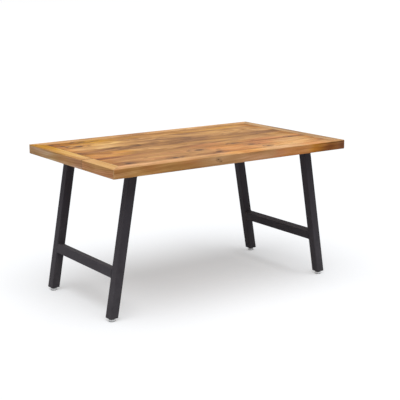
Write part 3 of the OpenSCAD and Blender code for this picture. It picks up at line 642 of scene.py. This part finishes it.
def plasticMaterial(name, colour, roughness, dustAndLightHeight, silver=0.0, sole=0.0):
    # moulded plastic: fine spark-eroded skin, faint flow clouds, a little dust near the floor on the black plastic and
    # the pads darker towards the bottom; silver is its flake pigment; below the level sole it is dark and not silver
    material, tree, shader, place = newMaterial(name, {"Specular IOR Level": plastic["gloss"], "Metallic": silver})
    skin = useGroup(tree, mouldedSkin, {
        "Vector": place, "Cloud Waves": plastic["cloudWaves"], "Skin Waves": plastic["skinWaves"],
        "Dust Waves": plastic["dustWaves"], "Dust And Light Height": dustAndLightHeight})
    shaded = tuple(plastic["shade"] * part for part in colour)
    paint = colourRamp(tree, skin["Cloud"], zip(plastic["cloud"], (shaded, colour)))
    paint = mixColour(tree, times(tree, skin["Dust And Painted Light"], plastic["dustAndLightShare"]), paint, plastic["dustAndPaintedLight"])
    if sole:
        darkSole = fade(tree, axisOf(tree, place, 2), sole + plastic["darkSoleEase"], sole - plastic["darkSoleEase"])
        feed(tree, shader.inputs["Metallic"], timesPlus(tree, darkSole, -silver, silver))
        paint = mixColour(tree, darkSole, paint, plastic["darkSole"])
    feed(tree, shader.inputs["Base Color"], paint)
    rough = timesPlus(tree, skin["Cloud"], plastic["cloudRough"], roughness)
    feed(tree, shader.inputs["Roughness"], rough)
    addBump(tree, shader, skin["Skin"], *plastic["bump"])
    return material


zinc, brass = [platedMaterial(name, **look) for name, look in metals.items()]
blackPlastic, padPlastic = [plasticMaterial(name, **look) for name, look in plastics.items()]
for name in nodes:
    if "plug" in name or "caps" in name:
        finishNode(name, blackPlastic)
    elif "foot_pad" in name:
        finishNode(name, padPlastic)
    elif "screw" in name or "bolt" in name:
        finishNode(name, zinc)
finishNode("threaded_inserts", brass)
print("fittings finished")


# made pieces: grids of points, joined into one closed mesh each

mending = {"merge": 1e-6, "collapse": 1e-7, "sharp": 34}


def gridFaces(rows, columns, start, closeRows):
    # quads (row, column), (row, column + 1), (row + 1, column + 1), (row + 1, column); columns always close on
    # themselves, rows on request
    r = np.arange(rows if closeRows else rows - 1)[:, None]
    c = np.arange(columns)[None, :]
    below, right = (r + 1) % rows, (c + 1) % columns
    quads = np.stack([r * columns + c, r * columns + right, below * columns + right, below * columns + c], -1)
    return quads.reshape(-1, 4) + start


def makePiece(name, grids, material, body, closeRows=False):
    # all grids in one mesh, rows that shrink to a point merged there, sharp where two faces turn more than the angle
    points, faces, start = [], [], 0
    for grid in grids:
        faces.append(gridFaces(grid.shape[0], grid.shape[1], start, closeRows))
        points.append(grid.reshape(-1, 3))
        start += len(points[-1])
    mesh = bpy.data.meshes.new(name)
    mesh.from_pydata(np.vstack(points).tolist(), [], np.vstack(faces).tolist())
    work = bmesh.new()
    work.from_mesh(mesh)
    bmesh.ops.remove_doubles(work, verts=work.verts, dist=mending["merge"])
    bmesh.ops.dissolve_degenerate(work, edges=work.edges, dist=mending["collapse"])
    bmesh.ops.recalc_face_normals(work, faces=work.faces)
    work.to_mesh(mesh)
    work.free()
    mesh.shade_smooth()
    mesh.set_sharp_from_angle(angle=radians(mending["sharp"]))
    piece = bpy.data.objects.new(name, mesh)
    bpy.context.scene.collection.objects.link(piece)
    mesh.materials.append(material)
    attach(piece, body)
    return piece


def turned(radius, height, place):
    # a surface round an upright axis: x = r(row, angle) cos angle, y = r sin angle, z = height(row), moved to place
    angle = np.arange(radius.shape[1]) * 2 * pi / radius.shape[1]
    up = np.broadcast_to(np.asarray(height, float).reshape(len(radius), -1), radius.shape)
    return np.stack([radius * np.cos(angle) + place[0], radius * np.sin(angle) + place[1], up + place[2]], -1)


def arc(x, y, radius, start, end, count):
    # points x + r cos a, y + r sin a with a from start to end in degrees
    turn = np.radians(np.linspace(start, end, count))
    return np.stack([x + radius * np.cos(turn), y + radius * np.sin(turn)], -1)


def middle(name):
    # the middle of a CAD node's box
    low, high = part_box(name)
    return (low + high) / 2


spots = {"topBand": 1e-4, "reach": 0.009}


def axisSpots(name):
    # where the upright axes of a CAD node's pieces stand: the mean of each cluster of points, all within reach of one
    # another, in the band at their upper ends
    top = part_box(name)[1].z - spots["topBand"]
    places = {(round(v.co.x, 5), round(v.co.y, 5)) for v in nodes[name].data.vertices if v.co.z > top}
    points = np.array(sorted(places))
    near = np.linalg.norm(points[:, None] - points[None], axis=2) < spots["reach"]
    return sorted({tuple(np.round(points[row].mean(0), 4)) for row in near})


def hexRadius(flats, steps):
    # distance from the middle of a hexagon to its side at each angle: half the flats over cos of the angle off the flat
    angle = np.arange(steps) * 2 * pi / steps
    return flats / 2 / np.cos(np.mod(angle, pi / 3) - pi / 6)


def trimmedHex(form, depth):
    # a hexagon trimmed by a 30 degree cone: r = min(hexagon, chamfer flats / 2 + depth / tan 30), a row for each depth
    cone = form["chamfer"] * form["flats"] / 2 + depth / tan(radians(30))
    return np.minimum(hexRadius(form["flats"], form["steps"])[None, :], cone[:, None])


# the tube of the legs, and where the trestles stand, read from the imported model
leg = {"size": 0.045, "corner": 0.004, "lean": radians(10)}
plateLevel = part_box("leg_plate_front_right")[0].z
stretcherX, _, stretcherLevel = middle("right_stretcher")
legY = -middle("leg_front_right").y
legTopX = stretcherX - (plateLevel - stretcherLevel) * tan(leg["lean"])

weld = {"radius": 0.0021, "flush": 0.0009, "fall": 3, "ripple": 0.0024, "depth": 0.14, "sides": 10, "points": 176,
        "arcPoints": 9}


def roundedLoop(halfX, halfY, corner, count):
    # a rectangle with rounded corners: four quarter arcs joined by straights, resampled to even steps of its length
    turn = np.linspace(0, pi / 2, weld["arcPoints"])[None, :] + np.arange(4)[:, None] * pi / 2
    sideX, sideY = np.array([[1], [-1], [-1], [1]]), np.array([[1], [1], [-1], [-1]])
    arcX = sideX * (halfX - corner) + corner * np.cos(turn)
    arcY = sideY * (halfY - corner) + corner * np.sin(turn)
    line = np.stack([arcX, arcY], -1).reshape(-1, 2)
    line = np.vstack([line, line[:1]])
    length = np.concatenate([[0], np.cumsum(np.linalg.norm(np.diff(line, axis=0), axis=1))])
    step = np.linspace(0, length[-1], count, endpoint=False)
    return np.interp(step, length, line[:, 0]), np.interp(step, length, line[:, 1]), step


def weldLoop(halfX, halfY, origin, axisX, axisY, flush):
    # a bead round a tube's end: centre line = origin + x axisX + y axisY; round it a circle in the plane of the
    # outward direction and the tube's axis, its radius swelling with each ripple, 1 - depth |cos(pi s / ripple)|;
    # where the two tubes lie flush (the sides across X) it is ground nearly flat
    x, y, step = roundedLoop(halfX, halfY, leg["corner"], weld["points"])
    alongX, alongY = np.roll(x, -1) - np.roll(x, 1), np.roll(y, -1) - np.roll(y, 1)
    size = np.hypot(alongX, alongY)
    outX, outY = alongY / size, -alongX / size
    swell = weld["radius"] * (1 - weld["depth"] * np.abs(np.cos(pi * step / weld["ripple"])))
    if flush:
        swell = swell + (weld["flush"] - swell) * np.abs(outX) ** weld["fall"]
    axisX, axisY = np.array(axisX), np.array(axisY)
    axisZ = np.cross(axisX, axisY)
    centre = np.array(origin) + x[:, None] * axisX + y[:, None] * axisY
    outward = outX[:, None] * axisX + outY[:, None] * axisY
    angle = np.arange(weld["sides"]) * 2 * pi / weld["sides"]
    ring = np.cos(angle)[None, :, None] * outward[:, None] + np.sin(angle)[None, :, None] * axisZ[None, None]
    return centre[:, None] + swell[:, None, None] * ring


def makeWelds():
    # per leg one bead under its plate, level, so longer by 1 / cos lean, and one where the stretcher meets it
    half, lean = leg["size"] / 2, leg["lean"]
    beads = []
    for x, y in corners.values():
        underPlate = (x * legTopX, y * legY, plateLevel)
        beads.append(weldLoop(half / cos(lean), half, underPlate, (1, 0, 0), (0, 1, 0), False))
        atStretcher = (x * stretcherX, y * (legY - half), stretcherLevel)
        leaningX, leaningZ = (cos(lean), 0, x * sin(lean)), (-x * sin(lean), 0, cos(lean))
        beads.append(weldLoop(half, half, atStretcher, leaningX, leaningZ, True))
    makePiece("weld_beads", beads, steelCoat, "table", closeRows=True)


# depths are those of the rows of points down the head
bolt = {"flats": 0.013, "shank": 0.004, "chamfer": 0.95, "steps": 72,
        "depths": (0, 0, 0.0002, 0.0004, 0.0006, 0.0008, 0.0011, 0.005, 0.0053)}


def boltGrid(x, y, headLow, tip):
    # a trimmed hexagon closed underneath, then the round shank up to the tip
    depth = np.array(bolt["depths"])
    head = trimmedHex(bolt, depth)
    head[0] = 0
    shank = np.array([1, 1, 0])[:, None] * np.full((1, bolt["steps"]), bolt["shank"])
    height = np.concatenate([headLow + depth, [headLow + depth[-1], tip, tip]])
    return turned(np.vstack([head, shank]), height, (x, y, 0))


def makeBolts():
    # one at each axis of the CAD's bolts
    low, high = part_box("leg_bolts")
    grids = [boltGrid(x, y, low.z, high.z) for x, y in axisSpots("leg_bolts")]
    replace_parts(makePiece("trestle_bolts", grids, zinc, "table"), "leg_bolts")
    print("  bolts:", len(grids))


screw = {"pitch": 0.00125, "crest": 0.00398, "thread": 0.0006, "perTurn": 10, "runOut": 0.001, "steps": 48,
         "flats": 0.013, "chamfer": 0.95, "collar": 0.0035, "rim": (0, 0.0003, 0.0006, 0.001), "pivot": 0.005}


def makeFootScrew(corner):
    # pivot, hexagon collar and a thread whose depth is a triangle wave of z / pitch - angle / turn
    low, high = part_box("foot_screw_" + corner)
    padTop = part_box("foot_pad_" + corner)[1].z
    steps, rim = screw["steps"], np.array(screw["rim"])
    depth = np.concatenate([rim, screw["collar"] - rim[::-1]])
    collar = trimmedHex(screw, np.minimum(depth, screw["collar"] - depth))
    start = padTop + screw["collar"]
    rise = np.arange(0, high.z - start - 1e-6, screw["pitch"] / screw["perTurn"])
    wave = np.abs(2 * np.mod(rise[:, None] / screw["pitch"] - np.arange(steps) / steps, 1) - 1)
    taper = np.clip((high.z - start - rise) / screw["runOut"], 0.0, 1)[:, None]
    thread = screw["crest"] - screw["thread"] * (1 - taper * (1 - wave))
    pivot = np.array([0, 1, 1])[:, None] * np.full((1, steps), screw["pivot"])
    tip = np.array([screw["crest"] - screw["thread"], 0])[:, None] * np.ones((1, steps))
    height = np.concatenate([[low.z, low.z, padTop], padTop + depth, start + rise, [high.z, high.z]])
    x, y, _ = middle("foot_screw_" + corner)
    grid = turned(np.vstack([pivot, collar, thread, tip]), height, (x, y, 0))
    piece = makePiece("threaded_foot_" + corner, [grid], zinc, "screw_" + corner)
    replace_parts(piece, "foot_screw_" + corner)


# foot pad: a rounded shoulder, an eased sole, a fine groove round the side and a ring in the sole
pad = {"radius": 0.0165, "height": 0.011, "shoulder": 0.004, "ease": 0.0012, "grooveLevel": 0.0027, "groove": 0.00035,
       "ring": 0.0114, "bore": 0.00505, "seat": 0.0058, "steps": 72,
       "points": {"groove": 7, "ease": 6, "shoulder": 12, "bore": 4}}


def makeFootPad(corner):
    # the half section, sole, side, shoulder and bore in turn, carried round the screw's axis
    wall, shoulder, ease, groove, points = pad["radius"], pad["shoulder"], pad["ease"], pad["groove"], pad["points"]
    section = np.vstack([
        [(0, 0)],
        arc(pad["ring"], 0, groove, 180, 0, points["groove"]),
        arc(wall - ease, ease, ease, -90, 0, points["ease"]),
        arc(wall, pad["grooveLevel"], groove, 270, 90, points["groove"]),
        arc(wall - shoulder, pad["height"] - shoulder, shoulder, 0, 90, points["shoulder"]),
        arc(pad["bore"] + groove, pad["height"] - groove, groove, 90, 180, points["bore"]),
        [(pad["bore"], pad["seat"]), (0, pad["seat"])],
    ])
    x, y, _ = middle("foot_pad_" + corner)
    place = (x, y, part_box("foot_pad_" + corner)[0].z)
    grid = turned(np.repeat(section[:, :1], pad["steps"], 1), section[:, 1], place)
    piece = makePiece("moulded_pad_" + corner, [grid], padPlastic, "foot_" + corner)
    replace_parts(piece, "foot_pad_" + corner)


# countersunk screws that hold the planks from below, one through each batten into each plank
plankScrew = {"radius": 0.004, "rim": 0.0004, "shank": 0.002, "point": 0.005, "rings": 9, "steps": 40, "seed": 11,
              "recess": 0.0014, "slot": 0.00055, "sharp": 4, "recessEnd": 0.7, "recessEase": 0.2}


def plankScrewGrid(x, y, low, high, twist):
    # a flat head seen from below with a cross recess, its depth = recess (1 - (arm / slot)^sharp) where arm is the
    # smaller of |x| and |y|, easing to nothing towards the rim; then the cone, the shank and the point, turned
    head, shank, steps = plankScrew["radius"], plankScrew["shank"], plankScrew["steps"]
    share = np.linspace(0, 1, plankScrew["rings"])[:, None]
    angle = np.arange(steps)[None, :] * 2 * pi / steps
    radius = head * share * np.ones((1, steps))
    arm = np.minimum(np.abs(radius * np.cos(angle + twist)), np.abs(radius * np.sin(angle + twist)))
    cut = np.clip(1 - (arm / plankScrew["slot"]) ** plankScrew["sharp"], 0, 1)
    cut = cut * np.clip((plankScrew["recessEnd"] - share) / plankScrew["recessEase"], 0, 1)
    body = np.array([(head, plankScrew["rim"]), (shank, plankScrew["rim"] + head - shank),
                     (shank, high - low - plankScrew["point"]), (0, high - low)])
    rise = np.vstack([cut * plankScrew["recess"], np.repeat(body[:, 1:], steps, 1)])
    return turned(np.vstack([radius, np.repeat(body[:, :1], steps, 1)]), rise, (x, y, low))


def makePlankScrews():
    # one at each axis of the CAD's screws, each driven home to another angle
    chance = np.random.default_rng(plankScrew["seed"])
    low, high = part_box("plank_screws")
    grids = [plankScrewGrid(x, y, low.z, high.z, chance.uniform(0, pi)) for x, y in axisSpots("plank_screws")]
    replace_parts(makePiece("countersunk_screws", grids, zinc, "table"), "plank_screws")
    print("  plank screws:", len(grids))


makeWelds()
makeBolts()
for corner in corners:
    makeFootScrew(corner)
    makeFootPad(corner)
makePlankScrews()
print("made pieces ready")


# the studio: a pale floor that keeps the table's shadow, a soft lamp high on the left, an even sky
studio = {
    "skyLevel": 0.27, "lampLevel": 0.82, "lampSpread": 60, "lampTilt": (15, -9), "floorShade": 0.577, "floorGlow": 0.42,
    "floorBounce": 0.52, "floorCool": (1.0, 1.025, 1.06), "floorHalf": 60,
}


def seenPlainly(tree):
    # 1 for what the camera sees, straight or in metal and through glass, 0 for light on its way to the table
    path = addNode(tree, "LightPath").outputs
    mirrored = calc(tree, "MAXIMUM", path["Is Glossy Ray"], path["Is Transmission Ray"])
    return calc(tree, "MAXIMUM", path["Is Camera Ray"], mirrored)


def makeFloor():
    half = studio["floorHalf"]
    mesh = bpy.data.meshes.new("floor")
    mesh.from_pydata([(-half, -half, 0), (half, -half, 0), (half, half, 0), (-half, half, 0)], [], [(0, 1, 2, 3)])
    floor = bpy.data.objects.new("floor", mesh)
    bpy.context.scene.collection.objects.link(floor)
    material = bpy.data.materials.new("floor_paper")
    material.use_nodes = True
    tree = material.node_tree
    tree.nodes.clear()
    seen = seenPlainly(tree)
    shade = timesPlus(tree, seen, studio["floorShade"] - studio["floorBounce"], studio["floorBounce"])
    cooled = {channel: times(tree, shade, part) for channel, part in enumerate(studio["floorCool"])}
    diffuse = addNode(tree, "BsdfDiffuse", {"Color": addNode(tree, "CombineColor", cooled).outputs[0]})
    glow = times(tree, seen, studio["floorGlow"])
    emission = addNode(tree, "Emission", {"Color": (1, 1, 1, 1), "Strength": glow})
    both = addNode(tree, "AddShader", {0: diffuse.outputs[0], 1: emission.outputs[0]})
    # from below the floor isn't there
    under = addNode(tree, "NewGeometry").outputs["Backfacing"]
    shown = addNode(tree, "MixShader", {0: under, 1: both.outputs[0], 2: addNode(tree, "BsdfTransparent").outputs[0]})
    feed(tree, tree.nodes.new("ShaderNodeOutputMaterial").inputs[0], shown.outputs[0])
    mesh.materials.append(material)


def makeSky():
    world = bpy.data.worlds.new("studio_sky")
    world.use_nodes = True
    tree = world.node_tree
    background = tree.nodes["Background"]
    background.inputs["Color"].default_value = (1, 1, 1, 1)
    level = timesPlus(tree, seenPlainly(tree), 1.0 - studio["skyLevel"], studio["skyLevel"])
    feed(tree, background.inputs["Strength"], level)
    bpy.context.scene.world = world


def makeLamp():
    lamp = bpy.data.lights.new("soft_lamp", "SUN")
    lamp.angle = radians(studio["lampSpread"])
    lamp.energy = studio["lampLevel"] * pi
    holder = bpy.data.objects.new("soft_lamp", lamp)
    holder.rotation_euler = (radians(studio["lampTilt"][0]), radians(studio["lampTilt"][1]), 0)
    bpy.context.scene.collection.objects.link(holder)


# the view of the photograph, solved from the top's corners and the feet
view = {"place": (-2.842, -4.032, 1.562), "down": 12.78, "turn": 35.83, "lens": 87.0, "film": 36.0, "far": 200}


def makeCamera():
    data = bpy.data.cameras.new("camera")
    data.lens, data.sensor_width, data.clip_end = view["lens"], view["film"], view["far"]
    camera = bpy.data.objects.new("camera", data)
    camera.location = view["place"]
    camera.rotation_euler = (radians(90 - view["down"]), 0, -radians(view["turn"]))
    bpy.context.scene.collection.objects.link(camera)
    bpy.context.scene.camera = camera


makeFloor()
makeSky()
makeLamp()
makeCamera()
bpy.context.scene.view_settings.view_transform = "Standard"
print("studio ready")

bpy.context.view_layer.update()
